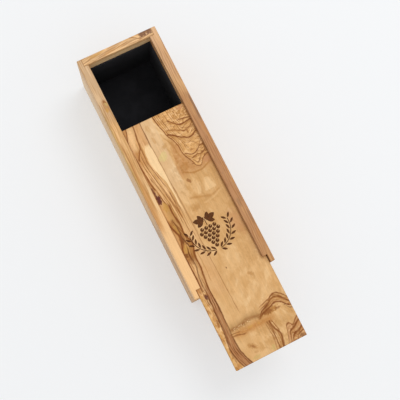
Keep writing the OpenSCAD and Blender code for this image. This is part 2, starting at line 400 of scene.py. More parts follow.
def left_rail(s):
    """The pale left rail: palest at its front, with gold by its outer edge and a small green knot behind.
    Painted light pales its outer face, most towards its rear and its bottom.
    """
    top = s.step(s.z, 84, 103)
    x, y = along_rail(s, -1, 3)
    # Painted light: the outer face is lightened below, most towards its rear and its bottom.
    wall = s.step(s.facing_x, -0.5, -0.9)
    pale = s.guide(s.y, [(-175, 0.15), (-60, 0.35), (110, 0.65)]) * s.step(s.z, 110, 50)
    s.lay(wall * pale, GREY_CREAM)
    streak = s.noise(s.z / 9, s.y / 120, 19, detail=2)
    s.lay(wall * s.step(s.y, 0, -140) * s.step(streak, 0.42, 0.6) * 0.45, SMOKE)
    pale = s.guide(y, [
        (-175, 0.9), (-100, 0.9), (-66, 0.75), (-30, 0.35), (0, 0.3), (60, 0.3), (110, 0.1), (175, 0.0)
    ])
    s.lay(top * pale, PEACH)
    rear = top * s.step(y, -85, -35)
    flow = s.noise(x / 2.2, y / 42, 4, detail=3)
    s.mottle(flow, rear, (0.53, 0.63, PEACH, 0.7), (0.48, 0.38, TAN, 0.6))
    s.lay(top * s.span(y, 90, 175, 20) * 0.33, SMOKE)
    s.lay(top * s.step(y, 70, 110) * 0.3, GREY_CREAM)
    s.lay(top * s.step(x, -50, -54) * s.span(y, -66, 10, 25) * 0.7, ORANGE)
    s.lay(top * s.step(x, -54, -57) * s.span(y, -10, 80, 30) * 0.5, MOSS)
    lines, _ = s.rings(x + s.guide(y, [(-175, 0), (0, 3), (60, 0), (175, 2)]), y, 2.6, 6.5, 0.9)
    s.lay(rear * lines * 0.6, OCHRE)
    s.spots(
        x, y, top,
        ((-54, 25), (1.2, 34), BROWN, 0.5),
        ((-51.5, -30), (1.2, 30), OCHRE, 0.6),
        ((-47.5, -34), (2.4, 26), CREAM, 0.6),
        ((-49, 103), (5, 12), OCHRE, 0.6),
        ((-48.5, 109), (2.6, 3), BROWN, 0.7),
        ((-47.5, 105), (2, 3), MOSS, 0.8),
        ((-48, 166), (4.5, 0.9), BROWN, 0.6, -38),
        ((-50, 97), (3, 4), GOLD, 0.6),
    )


def right_rail(s):
    """The right rail: russet, paler behind, with long dark grain by its outer edge and painted shade on its
    inner face.
    """
    top = s.step(s.z, 84, 103)
    x, y = along_rail(s, 1, 13)
    russet = top * s.guide(y, [(-175, 0.85), (60, 0.9), (95, 0.4), (175, 0.1)])
    s.lay(russet * 0.9, CLAY)
    s.lay(top * s.step(y, 80, 120) * 0.6, FAWN)
    blush = s.noise(x / 4, y / 16, 9, detail=3)
    s.lay(russet * s.step(blush, 0.5, 0.62) * s.step(x, 50, 55) * 0.5, ORANGE)
    s.lay(russet * s.step(blush, 0.47, 0.36) * 0.18, SMOKE)
    flow = s.noise(x / 1.8, y / 38, 14, detail=3)
    s.lay(top * s.step(flow, 0.53, 0.63) * 0.4, HONEY)
    lines, _ = s.rings(x + s.guide(y, [(-175, 3), (0, 0), (90, 2), (175, 0)]), y, 2.9, 16.5, 0.9)
    s.lay(top * lines * 0.6, BROWN)
    s.spots(
        x, y, top,
        ((55.5, 52), (1.8, 26), SMOKE, 0.8),
        ((50, -88), (2.2, 8), SMOKE, 0.35),
        ((55, -112), (2, 14), SMOKE, 0.45),
    )
    # Painted shade darkens the inner face, which looks away from the lamp.
    inner_face = s.step(s.facing_x, -0.5, -0.9)
    s.lay(inner_face * 0.4, SMOKE)


def rear_rail(s):
    """The rear end: slanting golden streaks on its top, a burl by its right end with a bend in the grain
    beside it, and painted light on its inner face, with a painted shade just under its top edge."""
    top = s.step(s.z, 78, 101)
    folded = s.y + (s.high.z - s.z) * FOLD
    x = s.x + s.sway(3, s.x / 14, folded / 6, 23)
    y = folded + s.sway(1.2, s.x / 12, folded / 5, 28)
    slope = y - x * 0.1 + s.sway(2.5, x / 22, y / 30, 33)
    s.lay(top * 0.5, PALE)
    flow = s.noise(slope / 2, x / 24, 24, detail=3)
    s.mottle(flow, top, (0.51, 0.6, PEACH, 0.8), (0.47, 0.38, ORANGE, 0.6))
    lines, _ = s.rings(slope, x, 2.6, 26.5, 1.1)
    s.lay(top * lines * 0.75, BROWN)
    s.lay(top * 0.12, GREY_CREAM)
    s.spots(x, y, top, ((-30, 172), (16, 1.8), GOLD, 0.6, 6), ((-8, 168), (22, 1.6), ORANGE, 0.5, 5))
    ragged = s.sway(0.8, s.x / 5, s.z / 4, s.y / 4)
    rear_burl(s, ragged)
    knee = s.y - s.guide(s.x, [(19, 174.6), (24, 172.6), (28, 170.2), (31, 168), (34, 167)]) + ragged
    bend = top * s.span(s.x, 20, 33, 2)
    s.lay(s.bell(knee - 2.8, 2.2) * bend * 0.6, PEACH)
    s.lay(s.bell(knee, 1.2) * bend * 0.75, BROWN)
    inner_face = s.step(s.facing_y, -0.5, -0.9)
    # Painted light makes the lower inner face paler, and painted shade darkens it just under its top edge.
    s.lay(inner_face * s.step(s.z, 70, 88) * 0.95, CREAM)
    s.lay(inner_face * s.step(s.z, 96, 103) * 0.5, OCHRE)
    seam = s.most(s.bell(s.y - s.low.y, 1.3), s.bell(s.math("ABSOLUTE", s.x) - s.high.x, 1.3))
    s.lay(seam * s.step(s.facing_z, 0.3, 0.7) * 0.7, BROWN)


def rear_burl(s, ragged):
    """The dark burl in the rear end's top, with curls in it that are paler at its inner right corner."""
    burl = s.step(s.x + ragged, 31.6, 33.2) * s.step(s.x, 51.5, 49.5) * s.step(s.y + ragged, 167, 168.6)
    burl = burl * s.step((s.high.z - s.z) / 12 + ragged * 0.4, 1.0, 0.5)
    s.lay(burl * 0.95, BURL)
    curl = s.noise(s.x / 2.6, s.y / 1.8, s.z / 3, detail=1)
    s.lay(burl * s.bell(curl - 0.46, 0.05) * 0.7, UMBER)
    s.lay(burl * s.step(curl, 0.55, 0.64) * 0.5, TAN)
    inner_right = s.step(s.x, 37, 42) * s.step(s.y, 172, 169.5)
    s.lay(burl * inner_right * s.step(curl, 0.48, 0.58) * 0.7, FAWN)


# ---------- The lid ----------

# How far the lid's figure moves to the right for each millimetre down through the lid
LID_SLANT = 0.6
# Half the size of the field that holds the ornament
ORNAMENT = Vector((40, 36, 0))
# How far under the lid's top the burning starts, and where it is full
BURN_START = 0.06
BURN_FULL = 0.25


class LidRegion(Nodes):
    """One region of the lid's figure, in a node group of its own.

    A region adds a wobble of its own to the places that the region before it gave. So Cycles can't work out
    all the regions' masks at once, for which its stack of some 250 values would be too small."""

    GIVEN = "x", "y", "thickness", "strength", "ragged"

    def __init__(self, name, seed):
        super().__init__(bpy.data.node_groups.new(name, "ShaderNodeTree"))
        for way, sockets in (("INPUT", self.GIVEN), ("OUTPUT", self.GIVEN[:2])):
            for socket in sockets:
                self.tree.interface.new_socket(socket, in_out=way, socket_type="NodeSocketFloat")
            self.tree.interface.new_socket("colour", in_out=way, socket_type="NodeSocketColor")
        given = [Field(self, out) for out in self.node("NodeGroupInput").outputs]
        x, y, self.thickness, self.strength, self.ragged, self.colour = given[:len(self.GIVEN) + 1]
        self.x = x + self.sway(0.25, x / 2.2, y / 4, seed)
        self.y = y + self.sway(0.25, self.x / 3, y / 2.4, seed + 0.5)

    def line(self, distance, width, tone, share, shade=0.0):
        """A thin line where the distance is 0, and if wanted a soft shade that grows towards it."""
        width = self.thickness * width
        if shade:
            near = self.step(distance, width * -4, 0) * self.step(distance, width, 0)
            self.lay(near * share * shade, OCHRE)
        self.lay(self.bell(distance, width) * share * self.strength, tone)

    def down(self, knots, width, tone=RUSSET, strength=0.9, fade=5.0, shade=0.0):
        """A line that runs along the lid, through (y, x) knots."""
        ends = self.span(self.y, min(knots)[0], max(knots)[0], fade)
        self.line(self.x - self.guide(self.y, knots), width, tone, ends * strength, shade)

    def across(self, knots, width, tone=RUSSET, strength=0.9, shade=0.0):
        """A line that runs across the lid, through (x, y) knots."""
        ends = self.span(self.x, min(knots)[0], max(knots)[0], 4.0)
        self.line(self.y - self.guide(self.x, knots), width, tone, ends * strength, shade)

    def oval(self, place, size, tone, strength, turn=0.0, core=0.2):
        self.lay(self.spot(self.x, self.y, place, size, turn, core, self.ragged) * strength, tone)

    def ovals(self, *rows):
        for row in rows:
            self.oval(*row)

    def nest(self, region, field, along, spacing, seed, strength, width, tone=RUSSET, shade=0.45):
        """Nested lines inside a region, each with a soft shade that grows towards it from one side."""
        lines, part = self.rings(field, along, spacing, seed, self.thickness * width)
        self.lay(region * self.step(part, 0.35, 1.0) * (strength * shade), OCHRE)
        self.lay(region * lines * self.strength * strength, tone)

    def facet(self, left, right, tone, strength):
        """A patch with four straight sides, between two (y, x) corners on its left and two on its right."""
        inside = self.between(self.guide(self.y, left), self.guide(self.y, right), 1.0)
        self.lay(inside * self.span(self.y, left[0][0], left[1][0], 1.5) * strength, tone)

    def between(self, low_side, high_side, fade):
        """1 where x lies between two fields, fading outside them."""
        return self.step(self.x - low_side, -fade, 0) * self.step(self.x - high_side, fade, 0)

    def close(self):
        """The finished group, which gives its places and the colour with all the tones on it."""
        self.node("NodeGroupOutput", self.x, self.y, self.colour)
        return self.tree


def plain_wood(s):
    """The smooth, mottled wood of the middle and the right, with soft slanting swirls."""
    x, y = s.x, s.y
    cloud = s.noise(x / 15 + y / 60, y / 26 - x / 50, 1, detail=3)
    s.lay(s.step(cloud, 0.38, 0.64) * 0.65, PALE)
    swirl = s.noise((x * 0.85 + y * 0.4) / 8, (y * 0.85 - x * 0.4) / 26, 6, detail=2)
    right = s.step(x, -18, -8)
    arced = right * s.span(y, -218, -142, 16)
    calm = right - arced * 0.65
    s.mottle(swirl, calm, (0.54, 0.7, CREAM, 0.55), (0.47, 0.34, TAN, 0.75))
    patch = s.noise(x / 7 + 4, y / 9, 16, detail=3)
    s.mottle(patch, calm, (0.53, 0.66, PALE, 0.6), (0.47, 0.36, TAN, 0.6))
    arc = s.noise((x * 0.8 - y * 0.45) / 10, (y * 0.8 + x * 0.45) / 34, 26, detail=2)
    s.mottle(arc, arced, (0.52, 0.66, CREAM, 0.4), (0.47, 0.35, TAN, 0.4))
    s.lay(s.span(y, -128, -24, 12) * s.step(x, -4, 4) * 0.45, TAN)
    s.lay(s.span(x, -19, -3, 1.5) * s.step(y, -60, -20) * 0.22, GREY_CREAM)
    s.ovals(
        ((-11, 10), (6, 9), STRAW, 0.6, -40), ((-13, 52), (4, 6), TAN, 0.5),
        ((-13, 35), (3, 6), TAN, 0.55), ((-3, 22), (6, 3), TAN, 0.7, 35),
        ((28, -48), (10, 11), PALE, 0.6),
    )
    s.facet([(-54, 19), (-39, 25)], [(-54, 34), (-39, 29)], CREAM, 0.35)
    s.facet([(-54, 8), (-41, 13)], [(-54, 12), (-41, 18)], CREAM, 0.35)
    s.lay(s.span(x, -32, -17, 2) * s.span(y, -176, -96, 12) * 0.2, ROSE)
    s.ovals(
        ((9, -42), (6, 12), PALE, 0.6, -20), ((18, -44), (3.5, 12), TAN, 0.5, -10),
        ((38, -40), (5, 12), TAN, 0.6), ((36, -108), (10, 22), ROSE, 0.45, 8),
        ((36, -150), (9, 22), TAN, 0.5, -14), ((8, -150), (11, 20), PALE, 0.5, -20),
        ((1, -68), (15, 7), TAN, 0.6), ((-2, -69), (9, 4.5), OCHRE, 0.3, 12),
    )
    s.across([(-2, -55), (8, -58), (20, -62), (35, -60)], 2.4, OCHRE, 0.45)
    s.across([(12, -68), (24, -66), (36, -61)], 2.0, PALE, 0.5)
    # The first oval here, small and cream at (4, -205), is a painted highlight.
    s.ovals(
        ((4, -205), (3, 6), CREAM, 0.4, -38), ((14, -195), (8, 14), PALE, 0.5, -36),
        ((-8, -198), (5, 16), PALE, 0.4, -12), ((5, -33), (2.4, 5), BROWN, 0.75, 25),
        ((-3, -156), (0.9, 1.5), UMBER, 0.85), ((22, -176), (5.5, 3.2), OCHRE, 0.5, -30),
        ((24, -182), (2.4, 4), TAN, 0.6),
    )


def left_flow(s):
    """The long flowing lines down the left, with the cream streak beside them."""
    x, y = s.x, s.y
    outer = s.guide(y, [(70, -39), (60, -40), (45, -45), (30, -45.5), (0, -43), (-25, -40), (-50, -35),
                        (-70, -33)])
    streak_left = s.guide(y, [(36, -24), (28, -28.5), (12, -30), (0, -28.5), (-12, -25), (-22, -22),
                              (-60, -20.5)])
    field = s.between(outer, streak_left, 2.0) * s.step(y, -84, -60)
    drift = s.guide(y, [(70, 4), (30, 0), (0, 2), (-50, 9), (-80, 11)])
    flow = s.noise((x - drift) / 2.2, y / 46, 33, detail=3)
    s.lay(field * 0.5, AMBER)
    s.mottle(flow, field, (0.5, 0.6, PEACH, 0.9), (0.47, 0.34, OCHRE, 0.6))
    s.lay(s.span(x, -29, -21, 3) * s.span(y, 36, 70, 4) * 0.35, ROSE)
    s.nest(field * s.step(y, 40, 20), x - drift, y, 2.5, 2.5, 0.85, 0.6, BROWN, 0.15)
    s.lay(s.between(outer, outer + 9, 2) * s.span(y, 34, 66, 6) * 0.75, PALE)
    s.oval((-37.5, 49), (4.5, 14), PEACH, 0.7, turn=-12)
    s.lay(s.span(x, -42, -32, 3) * s.span(y, 14, 28, 8) * 0.6, ORANGE)
    s.oval((-43, 60), (3, 6), ORANGE, 0.5, turn=-30)
    streak_right = s.guide(y, [(40, -19.5), (0, -19.3), (-15, -19), (-30, -19.5), (-60, -18.5)])
    s.lay(s.between(streak_left, streak_right, 0.8) * s.step(y, 36, 29) * s.step(y, -75, -45), CREAM)
    s.down([(66, -39), (60, -40), (45, -45), (30, -45), (15, -44), (0, -43), (-15, -42), (-25, -40),
            (-35, -38), (-50, -35)], 1.3, shade=0.4)
    s.down([(66, -29), (55, -30), (45, -32), (35, -33), (28, -37), (20, -41)], 1.4, shade=0.4)
    s.down([(34, -33), (25, -33), (10, -33), (0, -31), (-10, -29), (-20, -27), (-35, -24), (-60, -22)], 1.0,
           BROWN, 0.8)
    s.down([(20, -37), (5, -36), (-10, -34), (-25, -31), (-45, -28), (-70, -24)], 0.9, BROWN)
    s.down([(-12, -38), (-30, -34), (-50, -31), (-68, -31)], 0.9, BROWN, 0.8, shade=0.3)
    s.down([(66, -18.8), (50, -19.5), (30, -19.5)], 0.9, UMBER, 0.75)
    s.down([(-38, -24), (-60, -24), (-92, -24)], 0.8, BROWN, 0.9)
    s.down([(-44, -27.5), (-62, -27), (-94, -28)], 0.7, BROWN, 0.9)
    s.down([(-56, -21), (-72, -21), (-100, -20)], 0.7, BROWN, 0.7)
    s.lay(s.span(x, -30, -19, 1.5) * s.span(y, -100, -60, 10) * s.step(flow, 0.5, 0.6) * 0.6, PEACH)
    s.down([(-120, -27.5), (-142, -27), (-160, -28)], 0.8, OCHRE, 0.6)
    s.down([(-34, -17), (-60, -16), (-95, -15)], 0.8, BROWN, 0.5)
    s.down([(66, -19.5), (-206, -14)], 0.9, BROWN, 0.6, fade=14.0)
    s.oval((-42, -36), (5, 13), ORANGE, 0.7, turn=-6)
    s.down([(-22, -43.5), (-32, -42.5), (-42, -41)], 2.4, KNOT, 1.0, 3)
    s.oval((-42, -40), (4.2, 8), KNOT, 1.0, turn=-8, core=0.5)
    s.oval((-40.5, -30), (1.8, 5), PALE, 0.6, turn=-10)
    s.oval((-38, -52), (4.5, 7.5), GOLD, 0.75)


def heart_strip(s):
    """The darker heart that swells and narrows down the left of the lid's middle."""
    x, y = s.x, s.y
    left = s.guide(y, [(-60, -45), (-72, -45), (-85, -42), (-95, -40), (-108, -42), (-120, -44),
                       (-180, -44)])
    right = s.guide(y, [(-60, -31), (-75, -31), (-95, -30.5), (-105, -28), (-118, -30), (-130, -32),
                        (-150, -33), (-180, -36)])
    inside = s.between(left, right, 1.2)
    flow = s.noise((x - left) / 2.4, y / 30, 43, detail=3)
    heart = inside * s.span(y, -124, -74, 7)
    s.lay(inside * s.step(y, -40, -60) * 0.3, GOLD)
    s.lay(heart * 0.8, OCHRE)
    tail = inside * s.span(y, -200, -132, 8)
    s.lay(tail * 0.6, PALE)
    s.mottle(flow, tail, (0.52, 0.62, PEACH, 0.8), (0.47, 0.36, ROSE, 0.7))
    s.lay(heart * s.step(flow, 0.52, 0.64) * 0.7, HONEY)
    s.nest(heart, x - left, y, 2.8, 4.5, 1.0, 0.9)
    s.nest(tail, x - left, y, 3.4, 5.5, 0.7, 0.9, BROWN, 0.2)
    s.ovals(
        ((-38, -62), (4, 9), OCHRE, 0.2), ((-39, -84), (3.6, 10), GOLD, 0.55),
        ((-38, -112), (5, 6.5), GOLD, 0.7), ((-38, -100), (4.6, 5), UMBER, 0.6),
        ((-42, -120), (4, 4), UMBER, 0.7), ((-38, -127), (6, 8), BROWN, 0.6),
    )
    s.down([(-69, -45), (-74, -44.5), (-80, -43), (-88, -40.5), (-95, -38.5), (-105, -41), (-118, -44.5)],
           1.8, strength=1.2, shade=0.4)
    s.down([(-52, -33), (-64, -33.5), (-72, -32), (-80, -31), (-95, -31.5), (-104, -28), (-112, -28.5),
            (-120, -31.5), (-140, -32), (-155, -34), (-178, -36)], 1.7, strength=1.1, shade=0.4)
    s.down([(-112, -36), (-122, -38), (-135, -36.5), (-150, -39.5), (-170, -41)], 1.3, UMBER, 0.8)
    s.down([(-118, -45), (-132, -44), (-150, -43.5), (-166, -44), (-178, -42)], 1.5, UMBER, 1.0)
    s.down([(-72, -38), (-84, -36), (-96, -36.5), (-108, -33)], 1.2, UMBER, 0.9)


def front_band(s):
    """The brown band down the left of the lid's front, and the mottled strip outside it."""
    x, y = s.x, s.y
    middle = s.guide(y, [(-160, -38), (-175, -37.8), (-200, -38), (-225, -39), (-238, -40), (-250, -40.5),
                         (-262, -39), (-278, -33)])
    half = s.guide(y, [(-160, 2), (-180, 3), (-230, 4.2), (-250, 5), (-278, 6)])
    front = s.step(y, -160, -176)
    strip = front * s.step(x - middle, 0, -2)
    mottle = s.noise(x / 5, y / 10, 12, detail=3, roughness=0.65)
    rim = s.step(x, -46.5, -49)
    s.lay(strip * 0.5, AMBER)
    s.mottle(mottle, strip, (0.5, 0.58, ORANGE, 0.9), (0.47, 0.38, PEACH, 0.8))
    gilt = s.noise(x / 3, y / 16, 17, detail=2)
    s.lay(strip * s.step(gilt, 0.53, 0.6) * 0.5, RUSSET)
    s.lay(rim * front * s.step(gilt, 0.56, 0.46) * 0.5, GOLD)
    band = s.step(s.math("ABSOLUTE", x - middle) - half, 0.9, -0.5) * front
    flow = s.noise((x - middle) / 1.6, y / 34, 48, detail=3)
    s.lay(band * 0.85, COCOA)
    s.mottle(flow, band, (0.52, 0.6, PALE, 0.43), (0.46, 0.36, RUSSET, 0.6))
    s.nest(band, x - middle, y, 2.9, 7.5, 0.85, 0.8, UMBER, 0.3)
    s.line(x - middle - half, 1.3, UMBER, front * 0.9)
    s.line(x - middle + half, 1.1, UMBER, front * 0.8)
    s.down([(-176, -45), (-190, -43), (-205, -42.5)], 1.0, UMBER, 0.6)
    s.down([(-182, -46.5), (-198, -44.5), (-214, -44)], 0.9, BROWN, 0.6)
    s.oval((-43, -178), (2.8, 4.8), KNOT, 0.9)
    s.oval((-46, -207), (3, 5.5), ORANGE, 0.8)


def contours(s):
    """The nested lines of the upper right, like the height lines of a map, and the warm wood below them."""
    x, y = s.x, s.y
    edge = s.guide(y, [(70, -0.5), (58, 0.5), (50, 2), (42, 4.2), (33, 6), (25, 10), (15, 13), (5, 14),
                       (-5, 17), (-12, 20.5), (-18, 23)])
    floor = s.guide(x, [(18, -14), (22, -17), (26, -20.5), (30, -20), (34, -15), (38, -12), (46, -9)])
    crown = s.guide(x, [(-3, 6), (2, 14), (8, 24), (16, 26), (44, 0)])
    side = s.guide(y, [(-30, -2), (-20, -2.5), (-8, -1.5), (4, 1), (20, 3)])
    warm = s.step(x - side + s.ragged * 0.5, -1.2, 1.6) * s.step(y - crown, 7, -6) * s.step(y, -31, -19)
    s.lay(warm * 0.85, WARM)
    s.lay(warm * s.step(s.noise(x / 6, y / 9, 5, detail=3), 0.5, 0.62) * 0.6, HONEY)
    s.lay(warm * s.step(s.noise(x / 5, y / 7, 25, detail=3), 0.54, 0.66) * 0.5, OCHRE)
    s.lay(s.bell(x - edge + 5.5, 1.6) * s.span(y, 2, 30, 6) * 0.5, OCHRE)
    s.oval((9, -14), (8, 7), OCHRE, 0.55)
    s.across([(4, -20), (12, -24.5), (22, -26.5), (32, -25), (44, -19)], 1.8, OCHRE, 0.8)
    s.oval((40, -17), (7, 5), ROSE, 0.7)
    inside = s.step(x - edge, -0.6, 0.6) * s.step(y - floor, -0.6, 0.6)
    s.lay(inside * 0.9, AMBER)
    sheen = s.noise(x / 8, y / 5, 21, detail=1)
    s.mottle(sheen, inside, (0.5, 0.62, PEACH, 0.6), (0.46, 0.34, ORANGE, 0.4))
    flat = (y - floor * 0.6) * 0.8 + s.sway(6, x / 12, y / 14, 31)
    inward = s.math("SMOOTH_MIN", (x - edge) * 1.7, flat, 6.0)
    s.nest(inside, inward, x, 4.1, 11.5, 0.85, 0.8, BROWN, 0.15)
    wavy = s.noise(x / 11, (y + s.sway(4, x / 8, y / 12, 35)) / 3.6, 37, detail=0)
    s.lay(inside * s.bell(wavy - 0.5, 0.05) * s.step(x - edge, 5, 10) * s.strength * 0.75, BROWN)
    s.nest(s.span(x - edge, -0.5, 9, 2) * s.step(y, 4, 16), x - edge, y, 2.5, 17.5, 0.85, 0.8)
    s.line(x - edge, 1.2, RUSSET, s.step(y, -18, -12))
    s.across([(21, -15), (24, -19), (28, -21), (31, -19), (34, -15), (38, -12), (46, -9.5)], 1.2)
    s.across([(8, 34), (14, 30), (22, 24), (27, 21), (33, 19), (42, 23)], 1.6, strength=1.1, shade=0.5)
    s.across([(17, 50), (21, 45), (26, 41), (33, 40), (43, 41.5)], 1.5, strength=1.1, shade=0.5)
    s.across([(29, 46.5), (36, 45), (43, 44)], 1.3)
    s.across([(10, 40), (20, 35), (32, 29.5)], 1.1, BROWN, shade=0.4)
    s.across([(18, 1), (25, -3), (33, -1), (38, 3), (45, 4)], 1.3, shade=0.4)
    s.across([(20, 22), (23, 13), (25, 4)], 1.0, BROWN, 0.7)
    s.across([(30, 14), (35, 10), (38, 4)], 1.0, BROWN, 0.7)
    s.across([(24, -8), (31, -6), (37, -7), (45, -1)], 1.1, shade=0.4)
    s.across([(30, 34), (38, 31), (45, 33)], 0.9, BROWN, 0.7)
    blotch = s.noise(x / 3.4, y / 3, 41, detail=1)
    upper = s.step(x, 18, 25) * s.step(y, 44, 52)
    s.mottle(blotch, upper, (0.52, 0.6, OCHRE, 0.7), (0.44, 0.34, PALE, 0.7))
    s.oval((38, 61), (6, 3.5), ROSE, 0.8)


def crossing(s):
    """The soft dark smudge across the front of the lid, and the warm band in front of it."""
    x, y = s.x, s.y
    middle = s.guide(x, [(-36, -229), (-20, -228), (-5, -226), (12, -229)])
    patchy = 0.45 + s.noise(x / 7, y / 4, 51, detail=3) * 1.1
    s.lay(s.bell(y - middle, 10) * s.span(x, -33, 6, 5) * patchy * 0.7, KHAKI)
    s.lay(s.bell(y - middle + 1, 4.2) * s.span(x, -33, 8, 4) * patchy * 0.6, BROWN)
    specks = s.step(s.noise(x / 2.2, y / 1.6, 61, detail=0), 0.58, 0.68)
    s.lay(specks * s.bell(y - middle + 3, 4) * s.span(x, -33, -8, 4) * 0.8, CREAM)
    warm = s.bell(y + 238, 8.5) * s.span(x, -26, 18, 12)
    s.lay(warm, ORANGE)
    s.lay(warm * s.step(s.noise(x / 6, y / 2.4, 65, detail=2), 0.5, 0.66) * 0.4, HONEY)
    s.oval((-10, -236), (5, 2), GOLD, 0.5)
    s.oval((2, -237), (2.5, 1.6), GOLD, 0.4)
    s.across([(-35, -238), (-28, -239), (-20, -241)], 1.6, BROWN)
    s.across([(-35, -235), (-26, -236)], 1.1, BROWN, 0.8)
    s.ovals(
        ((-18.5, -259.5), (8.5, 4.2), OCHRE, 0.55, -38), ((-18, -260), (4.4, 2), BROWN, 0.6, -38),
        ((-17, -268), (3.6, 2), OCHRE, 0.35),
    )
    s.lay(s.span(x, 22, 46, 8) * s.bell(y + 246, 14) * 0.5, TAN)
    s.oval((-19, -274), (6, 3), MOSS, 0.5)
    s.oval((5, -273), (4, 4), MOSS, 0.6)


def front_arcs(s):
    """The arcs and loops of the lid's front right corner."""
    x, y = s.x, s.y
    arc = s.guide(x, [(6, -233), (10, -230), (16, -228), (24, -225.5), (32, -223), (38, -224.5), (43, -229),
                      (47, -233), (52, -235)])
    over = s.step(y - arc, -0.5, 0.5) * s.step(y - arc, 13, 8) * s.step(x, 8, 14)
    glaze = s.noise(x / 8, y / 3, 29, detail=2)
    s.lay(over * 0.5, ORANGE)
    s.lay(over * s.step(glaze, 0.5, 0.6) * 0.7, PEACH)
    s.nest(over, y - arc, x, 3.2, 27.5, 0.9, 1.1)
    s.ovals(
        ((22, -229.5), (14, 5), OCHRE, 0.9, 6), ((19, -230), (8, 3), BROWN, 0.9, 4),
        ((33, -230.5), (5, 2.4), BROWN, 0.7),
    )
    s.across([(7, -233), (12, -229), (17, -227), (24, -225.5)], 1.6, strength=1.1)
    s.across([(8, -231), (12, -226), (18, -223.5), (25, -220), (30, -217), (36, -216.5), (42, -220),
              (51, -231)], 1.8, strength=1.0, shade=0.5)
    s.line(y - arc, 2.0, RUSSET, s.step(x, 8, 12))
    s.across([(27, -217), (32, -213), (38, -212), (43, -215), (51, -225)], 1.5, strength=0.9, shade=0.4)
    s.across([(44, -231), (46, -236), (51, -238.5)], 1.2, UMBER, 0.8)
    posts = s.span(x, 10, 21, 1.5) * s.step(y, -239, -244)
    s.lay(posts * 0.15, OCHRE)
    s.lay(posts * s.step(glaze, 0.5, 0.6) * 0.6, PALE)
    s.nest(posts, x - s.guide(y, [(-279, 0), (-262, 3), (-250, 1), (-240, 0)]), y, 2.7, 23.5, 0.8, 0.8,
           BROWN, 0.2)
    s.down([(-241, 12), (-250, 14), (-262, 13.5), (-279, 13)], 1.4, RUSSET, 0.9, 2)
    s.down([(-241, 15.5), (-250, 16.5), (-257, 20), (-263, 21.5), (-270, 19.5), (-279, 17)], 1.8, RUSSET,
           1.0, 2, shade=0.5)
    s.down([(-242, 18), (-249, 20), (-256, 21.5)], 1.0, BROWN)
    s.down([(-244, 9.5), (-258, 10.5), (-279, 8)], 0.9, BROWN, 0.6)
    top = s.guide(x, [(24, -282), (27, -273), (30, -263), (33, -255.5), (36.5, -254), (40, -258), (44, -255),
                      (51, -250)])
    inside = s.step(top - y, -0.5, 1.2)
    s.lay(inside * 0.6, ROSE)
    s.lay(inside * s.step(glaze, 0.52, 0.6) * 0.7, PALE)
    s.nest(inside, (top - y) * 0.8, x, 3.6, 19.5, 0.85, 1.1, shade=0.25)
    s.line(y - top, 1.8, BROWN, s.step(x, 24, 28) * 0.9)
    s.across([(29, -280), (31, -271), (34, -264), (37.5, -262.5), (42, -260), (51, -255)], 2.2, strength=1.0,
             shade=0.5)
    s.across([(32, -280), (34.5, -272), (38, -269), (43, -267.5), (51, -264)], 2.2, strength=1.0, shade=0.5)
    s.oval((46.5, -275.5), (4.6, 3.4), UMBER, 0.6)
    s.across([(38, -279), (42, -272.5), (46, -270.5), (51, -270)], 1.4)


def lid_wood(node):
    """The lid, with its figure and the burnt ornament cut into its top."""
    s = Board("lid_olive", node, "flat", 83, HONEY)
    x = s.x + (s.z - s.high.z) * LID_SLANT + s.sway(0.9, s.x / 9, s.y / 17)
    y = s.y + s.sway(1.0, s.x / 12, s.y / 12, 9)
    thickness = 0.7 + s.noise(s.x / 7, s.y / 12, 3) * 0.9
    strength = 0.45 + s.noise(s.x / 4, s.y / 9, 13) * 1.1
    ragged = (s.noise(s.x / 2.6, s.y / 3.4, 8) - 0.5) * 2.4
    regions = plain_wood, left_flow, heart_strip, front_band, contours, crossing, front_arcs
    for seed, draw in enumerate(regions):
        region = LidRegion(draw.__name__, seed)
        draw(region)
        given = x, y, thickness, strength, ragged, s.colour
        group = s.node("ShaderNodeGroup", *given, node_tree=region.close())
        x, y, s.colour = [Field(s, out) for out in group.outputs]
    # Painted shade along both long edges of the lid, where they run under the side walls' lips; it fades out
    # at the lips' front ends.
    groove_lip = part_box("right_side")[0].x / MM
    lip_shade = s.bell(s.math("ABSOLUTE", s.x) - groove_lip, 2.8) * s.step(s.y, -170, -160)
    s.lay(lip_shade * 0.6, BROWN)
    middle = (s.low + s.high) / 2
    near, far = middle - ORNAMENT, middle + ORNAMENT
    ornament = s.span(s.x, near.x, far.x, 1) * s.span(s.y, near.y, far.y, 1)
    burn = ornament * s.step(s.z, s.high.z - BURN_START, s.high.z - BURN_FULL)
    soot = s.noise(s.x / 1.4, s.y / 4, 71, detail=2)
    s.lay(burn * 0.97, s.mix(s.step(soot, 0.35, 0.7), CHAR, BURNT))
    return s.oiled(burn)


# ---------- Other materials ----------

def black_felt():
    """Pressed black felt: short fibres that lie every way, with a faint bloom, patchy lint, and painted
    light that makes it greyer towards the top.
    """
    s = Shader("black_felt", FELT)
    one = s.noise(s.x / 0.35 + s.y / 0.9, s.y / 0.35 - s.z / 0.9, s.z / 0.35 + s.x / 0.9, detail=2)
    two = s.noise(s.x / 0.35 - s.z / 0.9, s.y / 0.35 + s.x / 0.9, s.z / 0.35 - s.y / 0.9 + 7, detail=2)
    worn = s.noise(s.x / 22, s.y / 22, s.z / 22 + 3, detail=2)
    lint = s.step(s.most(one, two), 0.56, 0.74)
    # Patchy lint, and painted light that greys the felt towards the top of the box.
    lint_and_light = s.step(worn, 0.4, 0.7) * 0.25 + s.step(s.z, 45, 90) * 0.4
    s.lay(lint * 0.6 + lint_and_light, FELT_GREY)
    return s.finish(
        0.9 + lint * 0.08, (one + two) * 0.12 + worn * 0.3,
        Specular_IOR_Level=0.1, Sheen_Weight=0.02, Sheen_Roughness=0.4,
    )


